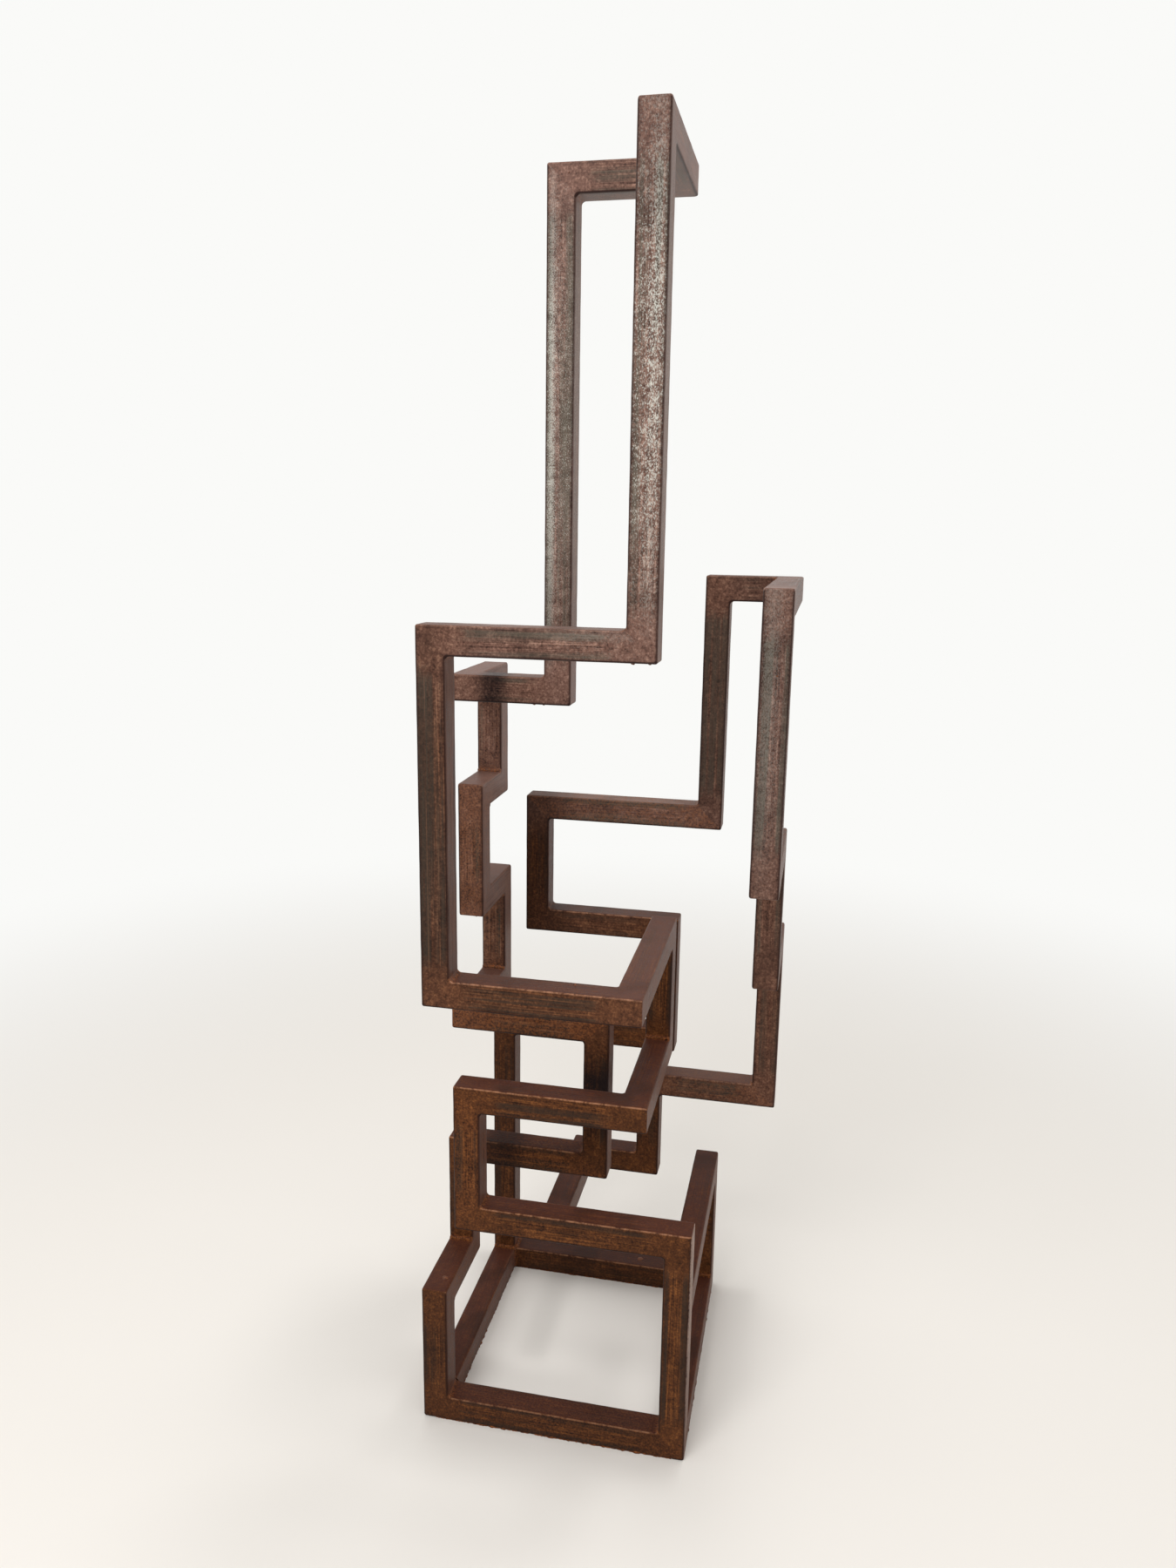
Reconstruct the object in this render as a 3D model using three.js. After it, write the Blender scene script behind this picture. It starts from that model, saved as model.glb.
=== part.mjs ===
// Abstract sculpture of welded square steel tube, standing on an open base frame.
// Millimetres, +Z up, front facing -Y. The origin is under the middle of the whole piece, on the floor.
import * as THREE from 'three';

// Tube section
const tubeWidth = 40;
const cornerRadius = 3;
const cornerSteps = 2;
const weldGap = 0.3;
const half = tubeWidth / 2;

// Base frame, between tube centre lines
const baseWidth = 371;
const baseDepth = 390;
const railHeight = half;
const sideBarHeight = 249;

// Centre lines from left to right, measured from the left posts
const leftX = 0;
const stepX = 8;
const tallRiserX = 35;
const frontRiserX = 54;
const backDropX = 60;
const lowLinkX = 146;
const longDropX = 151;
const innerPostX = 220;
const lowRiserX = 266;
const backRiserX = 289;
const linkX = 301;
const mastX = 308;
const highDropX = 355;
const rightX = baseWidth;
const reachX = 467;

// Centre lines from front to back, measured from the front rail
const forwardY = -71;
const frontY = 0;
const reachFrontY = 18;
const innerY = 135;
const mastBackY = 144;
const lowLinkEndY = 160;
const stepFrontY = 176;
const reachMiddleY = 218;
const linkBackY = 231;
const upperStepY = 279;
const lowerStepY = 299;
const backY = baseDepth;

// Centre lines from the floor up
const stepDrop = 172.5;
const leftLinkZ = 207;
const lowBarZ = 358;
const innerLowZ = 388;
const lowReachZ = 407;
const backLowZ = 493;
const middleBarZ = 551;
const innerBarZ = 617.5;
const backMiddleZ = 696.5;
const reachLinkZ = 695;
const upperBarZ = 744;
const backUpperZ = 899.5;
const reachUpperZ = 906;
const highBarZ = 1225;
const reachTopZ = 1277;
const mastTopZ = 1817;
const stepOneZ = innerBarZ + 3 * stepDrop;
const stepTwoZ = innerBarZ + 2 * stepDrop;
const stepThreeZ = innerBarZ + stepDrop;

// Rust tones: brown low down, greyer where the mill scale still shows
const brownRust = { color: 0x5a3a24, roughness: 0.72, metalness: 0.35 };
const darkRust = { color: 0x4a2f26, roughness: 0.7, metalness: 0.35 };
const greyRust = { color: 0x6a5348, roughness: 0.66, metalness: 0.4 };

const sculpture = new THREE.Group();
sculpture.name = 'square_tube_sculpture';
const centre = new THREE.Vector3(reachX / 2, (forwardY + backY) / 2, 0);

function roundedSquare() {
  const straight = half - cornerRadius;
  const outline = new THREE.Shape();
  outline.absarc(straight, straight, cornerRadius, 0, Math.PI / 2);
  outline.absarc(-straight, straight, cornerRadius, Math.PI / 2, Math.PI);
  outline.absarc(-straight, -straight, cornerRadius, Math.PI, Math.PI * 1.5);
  outline.absarc(straight, -straight, cornerRadius, Math.PI * 1.5, Math.PI * 2);
  const points = outline.getPoints(cornerSteps);
  const first = points[0];
  const last = points[points.length - 1];
  if (first.distanceTo(last) < 1e-6) {
    points.pop();
  }
  return points;
}

const section = roundedSquare();

// How far the end of a tube draws back from its corner point at one place on the section.
// A mitred end slopes towards the neighbour it meets, a square end is set back evenly.
function drawBack(cut, offset) {
  if (cut.neighbour) {
    return offset.dot(cut.neighbour) + weldGap / Math.SQRT2;
  }
  return cut.setBack;
}

function tubeGeometry(start, end, startCut, endCut) {
  const axis = end.clone().sub(start);
  const length = axis.length();
  axis.normalize();
  const side = new THREE.Vector3(axis.z, axis.x, axis.y);
  const other = new THREE.Vector3().crossVectors(axis, side);
  const count = section.length;
  const positions = [];
  for (const atEnd of [false, true]) {
    for (const point of section) {
      const offset = side.clone().multiplyScalar(point.x).addScaledVector(other, point.y);
      const along = atEnd ? length - drawBack(endCut, offset) : drawBack(startCut, offset);
      const corner = start.clone().addScaledVector(axis, along).add(offset);
      positions.push(corner.x, corner.y, corner.z);
    }
  }
  const faces = [];
  for (let i = 0; i < count; i += 1) {
    const next = (i + 1) % count;
    faces.push(i, next, count + next);
    faces.push(i, count + next, count + i);
  }
  for (let i = 1; i < count - 1; i += 1) {
    faces.push(0, i + 1, i);
    faces.push(count, count + i, count + i + 1);
  }
  const geometry = new THREE.BufferGeometry();
  geometry.setAttribute('position', new THREE.Float32BufferAttribute(positions, 3));
  geometry.setIndex(faces);
  geometry.computeVertexNormals();
  return geometry;
}

function addTube(name, finish, start, end, startCut, endCut) {
  const geometry = tubeGeometry(start.clone().sub(centre), end.clone().sub(centre), startCut, endCut);
  const mesh = new THREE.Mesh(geometry, new THREE.MeshStandardMaterial(finish));
  mesh.name = name;
  sculpture.add(mesh);
}

function direction(from, to) {
  return to.clone().sub(from).normalize();
}

// A run of tubes through a list of corners, mitred at every corner between two of them.
// Each entry after the first is the tube that leads there: its name, its finish and the corner it reaches.
function addRun(first, tubes, firstCut, lastCut) {
  const corners = [new THREE.Vector3(...first)];
  for (const tube of tubes) {
    corners.push(new THREE.Vector3(...tube[2]));
  }
  const closed = corners[0].distanceTo(corners[tubes.length]) < 1e-6;
  tubes.forEach((tube, i) => {
    let startCut = firstCut;
    let endCut = lastCut;
    if (i > 0) {
      startCut = { neighbour: direction(corners[i], corners[i - 1]) };
    } else if (closed) {
      startCut = { neighbour: direction(corners[0], corners[tubes.length - 1]) };
    }
    if (i < tubes.length - 1) {
      endCut = { neighbour: direction(corners[i + 1], corners[i + 2]) };
    } else if (closed) {
      endCut = { neighbour: direction(corners[0], corners[1]) };
    }
    addTube(tube[0], tube[1], corners[i], corners[i + 1], startCut, endCut);
  });
}

// The endless front run: along the floor, up the front, over the mast and down the steps inside
addRun([leftX, frontY, railHeight], [
  ['base_front_rail', brownRust, [rightX, frontY, railHeight]],
  ['front_right_post', brownRust, [rightX, frontY, lowBarZ]],
  ['front_low_bar', brownRust, [frontRiserX, frontY, lowBarZ]],
  ['front_riser', brownRust, [frontRiserX, frontY, middleBarZ]],
  ['front_middle_bar', brownRust, [linkX, frontY, middleBarZ]],
  ['lower_link', brownRust, [linkX, linkBackY, middleBarZ]],
  ['link_riser', brownRust, [linkX, linkBackY, upperBarZ]],
  ['upper_link', brownRust, [linkX, forwardY, upperBarZ]],
  ['front_upper_bar', brownRust, [tallRiserX, forwardY, upperBarZ]],
  ['tall_riser', brownRust, [tallRiserX, forwardY, highBarZ]],
  ['high_bar', greyRust, [mastX, forwardY, highBarZ]],
  ['mast', greyRust, [mastX, forwardY, mastTopZ]],
  ['mast_top_link', greyRust, [mastX, mastBackY, mastTopZ]],
  ['mast_top_bar', greyRust, [longDropX, mastBackY, mastTopZ]],
  ['long_drop', greyRust, [longDropX, mastBackY, stepOneZ]],
  ['step_top_bar', greyRust, [stepX, mastBackY, stepOneZ]],
  ['step_one_link', darkRust, [stepX, upperStepY, stepOneZ]],
  ['step_one_drop', brownRust, [stepX, upperStepY, stepTwoZ]],
  ['step_two_link', darkRust, [stepX, stepFrontY, stepTwoZ]],
  ['step_two_drop', brownRust, [stepX, stepFrontY, stepThreeZ]],
  ['step_three_link', darkRust, [stepX, lowerStepY, stepThreeZ]],
  ['step_three_drop', brownRust, [stepX, lowerStepY, innerBarZ]],
  ['step_four_link', darkRust, [stepX, innerY, innerBarZ]],
  ['inner_bar', brownRust, [innerPostX, innerY, innerBarZ]],
  ['inner_post', brownRust, [innerPostX, innerY, innerLowZ]],
  ['inner_low_bar', brownRust, [leftX, innerY, innerLowZ]],
  ['inner_left_post', brownRust, [leftX, innerY, leftLinkZ]],
  ['left_link', darkRust, [leftX, frontY, leftLinkZ]],
  ['front_left_post', brownRust, [leftX, frontY, railHeight]],
]);

// The other three rails of the base, closing the frame behind the front one
const behindFront = { setBack: half + weldGap };
addRun([leftX, frontY, railHeight], [
  ['base_left_rail', darkRust, [leftX, backY, railHeight]],
  ['base_back_rail', darkRust, [rightX, backY, railHeight]],
  ['base_right_rail', darkRust, [rightX, frontY, railHeight]],
], behindFront, behindFront);

// The back right post and the side bar it carries to the front right post
const onRail = { setBack: half + weldGap };
addRun([rightX, backY, railHeight], [
  ['back_right_post', darkRust, [rightX, backY, sideBarHeight]],
  ['right_side_bar', darkRust, [rightX, frontY, sideBarHeight]],
], onRail, behindFront);

// The back run: up from the back left corner, out to the right and down again, ending behind the low bar
addRun([leftX, backY, railHeight], [
  ['back_left_post', darkRust, [leftX, backY, backLowZ]],
  ['back_low_bar', darkRust, [backRiserX, backY, backLowZ]],
  ['back_riser', darkRust, [backRiserX, backY, backMiddleZ]],
  ['back_middle_bar', darkRust, [backDropX, backY, backMiddleZ]],
  ['back_left_drop', darkRust, [backDropX, backY, backUpperZ]],
  ['back_upper_bar', darkRust, [highDropX, backY, backUpperZ]],
  ['back_high_drop', greyRust, [highDropX, backY, reachTopZ]],
  ['reach_top_bar', greyRust, [reachX, backY, reachTopZ]],
  ['reach_top_link', greyRust, [reachX, reachFrontY, reachTopZ]],
  ['reach_tall_drop', greyRust, [reachX, reachFrontY, reachUpperZ]],
  ['reach_upper_link', darkRust, [reachX, reachMiddleY, reachUpperZ]],
  ['reach_middle_drop', darkRust, [reachX, reachMiddleY, reachLinkZ]],
  ['reach_lower_link', darkRust, [reachX, backY, reachLinkZ]],
  ['reach_low_drop', darkRust, [reachX, backY, lowReachZ]],
  ['reach_low_bar', darkRust, [lowRiserX, backY, lowReachZ]],
  ['low_drop', darkRust, [lowRiserX, backY, sideBarHeight]],
  ['low_bar', darkRust, [lowLinkX, backY, sideBarHeight]],
  ['low_end_link', darkRust, [lowLinkX, lowLinkEndY, sideBarHeight]],
], onRail, { setBack: 0 });

export default sculpture;
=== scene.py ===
"""Looks of a welded sculpture of rusted square steel tube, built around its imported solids.

Every length of tube gets a finer skin that meets its neighbours at the welds: rounded long edges, a rounded
outside corner, a weld fillet in the inside corner, and rust over streaked mill scale.
Metres, +Z up, front facing -Y.
"""
import math
from types import SimpleNamespace

import bmesh
import bpy
import numpy as np
from mathutils import Matrix, Vector, noise


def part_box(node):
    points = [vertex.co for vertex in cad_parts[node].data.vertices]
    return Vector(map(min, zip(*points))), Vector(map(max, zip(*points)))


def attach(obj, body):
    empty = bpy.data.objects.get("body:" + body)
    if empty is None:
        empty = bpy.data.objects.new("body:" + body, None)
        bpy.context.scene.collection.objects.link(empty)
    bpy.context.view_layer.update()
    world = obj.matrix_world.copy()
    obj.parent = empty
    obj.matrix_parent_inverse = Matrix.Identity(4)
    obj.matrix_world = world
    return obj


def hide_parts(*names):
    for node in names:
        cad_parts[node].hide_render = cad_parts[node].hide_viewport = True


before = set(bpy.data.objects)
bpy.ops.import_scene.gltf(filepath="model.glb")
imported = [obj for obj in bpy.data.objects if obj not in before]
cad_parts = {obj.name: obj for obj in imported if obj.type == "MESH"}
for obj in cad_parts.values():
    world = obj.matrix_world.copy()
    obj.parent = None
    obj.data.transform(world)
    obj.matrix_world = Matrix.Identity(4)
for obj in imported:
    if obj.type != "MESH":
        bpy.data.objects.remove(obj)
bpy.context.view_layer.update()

MM = 0.001

# Tube section and welds
HALF = 20 * MM
EDGE_RADIUS = 3 * MM
CORNER_ROUND = 3 * MM
WELD_FILLET = 6 * MM
BUTT_FILLET = 6 * MM
WELD_GAP = 0.3 * MM
WELD_START = 0.4

# Mesh steps
EDGE_STEPS = 5
FLAT_STEPS = 11
CORNER_STEPS = 6
RING_STEP = 5 * MM
FEWEST_STEPS = 4

# Unevenness of the steel: height and pitch
WAVE_HEIGHT = 0.2 * MM
WAVE_PITCH = 22 * MM
RIPPLE_HEIGHT = 0.55 * MM
RIPPLE_PITCH = 4.5 * MM

LEFT, RIGHT = Vector((-1, 0, 0)), Vector((1, 0, 0))
FRONT = Vector((0, -1, 0))
DOWN, UP = Vector((0, 0, -1)), Vector((0, 0, 1))

# The tubes of each run in the order they are welded
FRONT_RUN = (
    "base_front_rail", "front_right_post", "front_low_bar", "front_riser", "front_middle_bar",
    "lower_link", "link_riser", "upper_link", "front_upper_bar", "tall_riser", "high_bar",
    "mast", "mast_top_link", "mast_top_bar", "long_drop", "step_top_bar", "step_one_link",
    "step_one_drop", "step_two_link", "step_two_drop", "step_three_link", "step_three_drop",
    "step_four_link", "inner_bar", "inner_post", "inner_low_bar", "inner_left_post",
    "left_link", "front_left_post",
)
BASE_RUN = ("base_left_rail", "base_back_rail", "base_right_rail")
SIDE_RUN = ("back_right_post", "right_side_bar")
BACK_RUN = (
    "back_left_post", "back_low_bar", "back_riser", "back_middle_bar", "back_left_drop",
    "back_upper_bar", "back_high_drop", "reach_top_bar", "reach_top_link", "reach_tall_drop",
    "reach_upper_link", "reach_middle_drop", "reach_lower_link", "reach_low_drop",
    "reach_low_bar", "low_drop", "low_bar", "low_end_link",
)

# Square ends: which way the end faces, and the sides where a fillet weld runs along it
SQUARE_ENDS = {
    ("base_left_rail", "start"): (FRONT, (UP, RIGHT)),
    ("base_right_rail", "end"): (FRONT, (UP, LEFT)),
    ("back_right_post", "start"): (DOWN, (FRONT, LEFT)),
    ("right_side_bar", "end"): (FRONT, (UP, DOWN)),
    ("back_left_post", "start"): (DOWN, (FRONT, RIGHT)),
    ("low_end_link", "end"): (FRONT, ()),
}

# Which finish each tube has. The rest are brown.
GREY_TUBES = (
    "high_bar", "mast", "mast_top_link", "mast_top_bar", "long_drop", "step_top_bar",
    "back_high_drop", "reach_top_bar", "reach_top_link", "reach_tall_drop",
)
DARK_TUBES = (
    "step_one_link", "step_two_link", "step_three_link", "step_four_link", "left_link",
) + BASE_RUN + SIDE_RUN + tuple(name for name in BACK_RUN if name not in GREY_TUBES)

# How grey each tube is, from 0 for brown rust to 1 for pale mill scale. The rest are 0.
GREYNESS = {
    "mast": 0.72, "long_drop": 0.82, "mast_top_link": 0.6, "mast_top_bar": 0.6, "high_bar": 0.6,
    "tall_riser": 0.2, "step_top_bar": 0.5, "step_one_link": 0.5, "step_one_drop": 0.6,
    "step_two_link": 0.42, "step_two_drop": 0.35, "step_three_link": 0.32, "step_three_drop": 0.3,
    "step_four_link": 0.2, "inner_bar": 0.15, "back_upper_bar": 0.72, "back_high_drop": 0.35,
    "reach_top_bar": 0.45, "reach_top_link": 0.6, "reach_tall_drop": 0.68, "reach_upper_link": 0.45,
    "reach_middle_drop": 0.4, "reach_lower_link": 0.35, "reach_low_drop": 0.3, "reach_low_bar": 0.35,
    "back_middle_bar": 0.15, "upper_link": 0.15, "front_upper_bar": 0.08,
}
GREY_BLEND = 0.3

# Dark patches, pale flecks and painted highlights on right sides: where along a tube, from 0 at its start to
# 1 at its end, how far they reach either way in metres, and how strong they are
SOOT_PATCHES = {
    "inner_post": (0.46, 0.052, 1.08),
    "base_front_rail": (0.5, 0.4, 0.3),
    "front_left_post": (0.5, 0.2, 0.22),
    "base_back_rail": (0.5, 0.4, 0.3),
    "mast": (0.97, 0.12, 0.26),
    "step_top_bar": (0.68, 0.02, 0.9),
    "inner_low_bar": (0.7, 0.035, 0.7),
    "back_left_drop": (0.5, 0.22, 0.57),
    "back_upper_bar": (0.0, 0.05, 0.57),
    "back_middle_bar": (1.0, 0.05, 0.57),
    "back_high_drop": (0.45, 0.2, 0.26),
    "reach_top_bar": (0.65, 0.04, 0.2),
    "reach_tall_drop": (0.5, 0.3, 0.2),
    "tall_riser": (0.55, 0.3, 0.25),
    "back_left_post": (0.55, 0.25, 0.35),
}
FLECK_PATCHES = {
    "mast": (0.55, 0.22, 0.85),
    "long_drop": (0.45, 0.24, 0.68),
    "reach_tall_drop": (0.3, 0.2, 0.16),
    "high_bar": (0.8, 0.06, 0.1),
}
# Painted highlight down the right side of front_right_post
SIDE_HIGHLIGHT_PATCHES = {"front_right_post": (0.75, 0.17, 0.75)}
PATCH_FADE = 1.5

# How much of the welds' ochre rust a whole tube has. On inner_bar it is partly painted light, lifting the
# tube out of the shadow that front_upper_bar casts on it.
OCHRE_AND_PAINTED_LIGHT_TUBES = {
    "inner_bar": 0.6, "inner_low_bar": 0.25, "front_riser": 0.2, "back_upper_bar": 0.45,
    "step_one_drop": 0.22, "step_two_drop": 0.35, "step_three_drop": 0.22, "base_front_rail": 0.15,
    "reach_low_bar": 0.3,
}

# Bands of mill scale: where across the tube, from -1 to 1, half their width on that scale, and how strong.
# Across is from left to right, or from bottom to top on a tube that runs left to right.
# A negative strength keeps mill scale off.
SCALE_BANDS = {
    "tall_riser": (-0.6, 0.45, 1.0),
    "long_drop": (-0.55, 0.25, 0.5),
    "mast": (0.35, 0.45, 0.28),
    "high_bar": (0.6, 0.3, 0.6),
    "back_high_drop": (0.0, 1.0, 0.9),
    "reach_tall_drop": (-0.3, 0.6, 0.5),
    "front_left_post": (-0.5, 0.4, 0.7),
    "front_upper_bar": (0.1, 0.3, 0.5),
    "front_middle_bar": (-0.2, 0.35, 0.5),
    "front_riser": (0.7, 0.25, 0.4),
    "step_one_drop": (0.0, 2.0, -0.5),
    "step_two_drop": (0.0, 2.0, -0.5),
    "step_three_drop": (0.0, 2.0, -0.3),
    "inner_post": (0.0, 2.0, -0.3),
    "mast_top_bar": (0.5, 0.5, 0.3),
    "base_front_rail": (0.3, 0.3, 0.4),
}

# Values stored on the tubes: where the rounded edges start across a face, and how far apart along the
# pattern two tubes are
EDGE_START = 0.83
EDGE_BLEND = 0.06
PATTERN_SHIFT = 1.7


def slot_of(name):
    if name in GREY_TUBES:
        return "grey_rust"
    if name in DARK_TUBES:
        return "dark_rust"
    return "brown_rust"


def long_axis(name):
    low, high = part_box(name)
    size = high - low
    return max(range(3), key=lambda i: size[i])


def corner_between(first, second):
    """Where the centre lines of two neighbouring tubes cross."""
    low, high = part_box(first)
    point = (low + high) / 2
    low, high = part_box(second)
    point[long_axis(first)] = ((low + high) / 2)[long_axis(first)]
    return point


def square_end(name, facing):
    """The middle of a square end, moved out over the weld gap."""
    low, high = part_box(name)
    point = (low + high) / 2
    axis = long_axis(name)
    end = high[axis] if facing[axis] > 0 else low[axis]
    point[axis] = end + facing[axis] * WELD_GAP
    return point


def tubes_of(run, closed=False):
    """Name and end details of every tube in a run."""
    tubes = []
    last = len(run) - 1
    for i, name in enumerate(run):
        details = {}
        for side, step in (("start", -1), ("end", 1)):
            if not closed and not 0 <= i + step <= last:
                facing, welded = SQUARE_ENDS[(name, side)]
                details[side] = {"point": square_end(name, facing), "welded": welded}
            else:
                other = run[(i + step) % len(run)]
                details[side] = {"point": corner_between(name, other), "other": other}
        tubes.append((name, details))
    return tubes


def towards(point, name):
    """The direction from a corner along the tube that leaves it."""
    low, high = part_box(name)
    axis = long_axis(name)
    direction = Vector((0, 0, 0))
    direction[axis] = 1.0 if ((low + high) / 2)[axis] > point[axis] else -1.0
    return direction


def rounded_square():
    """Places and outward normals around the tube section."""
    places = []
    normals = []
    flat = HALF - EDGE_RADIUS
    for quarter in range(4):
        middle = math.pi / 4 + quarter * math.pi / 2
        centre = np.array([math.copysign(flat, math.cos(middle)), math.copysign(flat, math.sin(middle))])
        for i in range(EDGE_STEPS + 1):
            angle = quarter * math.pi / 2 + math.pi / 2 * i / EDGE_STEPS
            normal = np.array([math.cos(angle), math.sin(angle)])
            places.append(centre + normal * EDGE_RADIUS)
            normals.append(normal)
        start = places[-1]
        along = np.array([-normal[1], normal[0]])
        for i in range(1, FLAT_STEPS):
            places.append(start + along * (2 * flat * i / FLAT_STEPS))
            normals.append(normal)
    return np.array(places), np.array(normals)


SECTION, SECTION_NORMALS = rounded_square()


def weld_growth(step):
    """How much weld there is at one ring of an end, growing to all of it at the last."""
    return WELD_START + (1 - WELD_START) * step / CORNER_STEPS


def mitred_rings(detail, outward, offsets, normals):
    """Rings of a mitred end, which bend half way round the corner."""
    point = np.array(detail["point"])
    turn = np.array(towards(detail["point"], detail["other"]))
    inside = offsets @ turn
    radius = CORNER_ROUND + (WELD_FILLET - CORNER_ROUND) * (inside / HALF + 1) / 2
    facing = normals @ turn
    rings = []
    for i in range(CORNER_STEPS + 1):
        angle = math.pi / 4 * i / CORNER_STEPS
        ahead = -inside - radius + radius * math.sin(angle)
        across = radius - radius * math.cos(angle)
        place = point + offsets + np.outer(ahead, outward) + np.outer(across, turn)
        bent = np.outer(facing, math.cos(angle) * turn - math.sin(angle) * outward)
        normal = normals - np.outer(facing, turn) + bent
        rings.append((place, normal, np.clip(facing, 0, 1) * weld_growth(i)))
    return rings


def square_rings(detail, outward, offsets, normals):
    """Rings of a square end, which flare out along its welded sides."""
    point = np.array(detail["point"])
    share = np.zeros(len(offsets))
    spread = np.zeros_like(offsets)
    for side in detail["welded"]:
        facing = np.clip(normals @ np.array(side), 0, 1) ** 2
        share += facing
        spread += np.outer(facing, side)
    rings = []
    for i in range(CORNER_STEPS + 1):
        angle = math.pi / 2 * i / CORNER_STEPS
        ahead = -BUTT_FILLET + BUTT_FILLET * math.sin(angle)
        flare = BUTT_FILLET - BUTT_FILLET * math.cos(angle)
        place = point + offsets + ahead * outward + spread * flare
        tilt = share[:, None] * math.sin(angle)
        normal = normals * (1 - tilt) - tilt * outward
        normal /= np.linalg.norm(normal, axis=1)[:, None]
        rings.append((place, normal, share * weld_growth(i)))
    return rings


def end_rings(detail, outward, offsets, normals):
    """Rings of one end, from the straight part to the weld: places, normals and how much weld is there."""
    make_rings = mitred_rings if "other" in detail else square_rings
    return make_rings(detail, np.array(outward), offsets, normals)


def straight_rings(start, end, normals, length):
    """Rings between the two ends of a tube."""
    steps = max(FEWEST_STEPS, round(length / RING_STEP))
    no_weld = np.zeros(len(normals))
    rings = []
    for i in range(1, steps):
        share = i / steps
        rings.append((start * (1 - share) + end * share, normals, no_weld))
    return rings


def unevenness(places, welds):
    """How far the steel stands proud of its true face at each place."""
    heights = np.zeros(len(places))
    for i, place in enumerate(places):
        spot = Vector(place)
        heights[i] = WAVE_HEIGHT * noise.noise(spot / WAVE_PITCH)
        if welds[i] > 0:
            heights[i] += RIPPLE_HEIGHT * welds[i] * noise.noise(spot / RIPPLE_PITCH)
    return heights


def sleeve_faces(rings, count):
    """Faces of a closed sleeve: a row between each two rings, and a cap at each end."""
    faces = []
    for ring in range(rings - 1):
        row = ring * count
        for i in range(count):
            j = (i + 1) % count
            faces.append((row + i, row + j, row + count + j, row + count + i))
    last = (rings - 1) * count
    faces.append(tuple(range(count - 1, -1, -1)))
    faces.append(tuple(range(last, last + count)))
    return faces


def sharpen_caps(mesh, count, cap):
    """The hidden end faces keep their own shading."""
    sharp = []
    for edge in mesh.edges:
        a, b = edge.vertices
        sharp.append((a < count and b < count) or (a >= cap and b >= cap))
    mesh.attributes.new("sharp_edge", "BOOLEAN", "EDGE").data.foreach_set("value", sharp)


def greyness(name, details, share):
    """How grey the tube is along its length, meeting its neighbours halfway at the welds."""
    own = GREYNESS.get(name, 0.0)
    at_start = (own + GREYNESS.get(details["start"].get("other", name), 0.0)) / 2
    at_end = (own + GREYNESS.get(details["end"].get("other", name), 0.0)) / 2
    return np.interp(share, [0.0, GREY_BLEND, 1 - GREY_BLEND, 1.0], [at_start, own, own, at_end])


def patch(name, patches, share, length):
    """Strength of a patch along a tube, soft at its ends."""
    if name not in patches:
        return np.zeros(len(share))
    middle, reach, strength = patches[name]
    away = np.abs(share - middle) * length / reach
    return strength * np.clip(PATCH_FADE - away, 0, 1)


def band_strength(name, places):
    """How much mill scale a tube keeps at each place across it."""
    if name not in SCALE_BANDS:
        return np.zeros(len(places))
    middle, reach, strength = SCALE_BANDS[name]
    axis = 2 if long_axis(name) == 0 else 0
    low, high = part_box(name)
    offset = (places[:, axis] - (low[axis] + high[axis]) / 2) / HALF
    return strength * np.exp(-((offset - middle) / reach) ** 2)


def add_values(mesh, values):
    """Store numbers at the points of a mesh, where its material reads them."""
    for name, numbers in values.items():
        attribute = mesh.attributes.new(name, "FLOAT", "POINT")
        attribute.data.foreach_set("value", np.asarray(numbers, np.float32))


def finish_piece(name, mesh, slot):
    """Put a mesh in the scene as a piece of the sculpture."""
    piece = bpy.data.objects.new(name, mesh)
    bpy.context.scene.collection.objects.link(piece)
    mesh.materials.append(FINISHES[slot])
    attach(piece, "root")
    return piece


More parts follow.
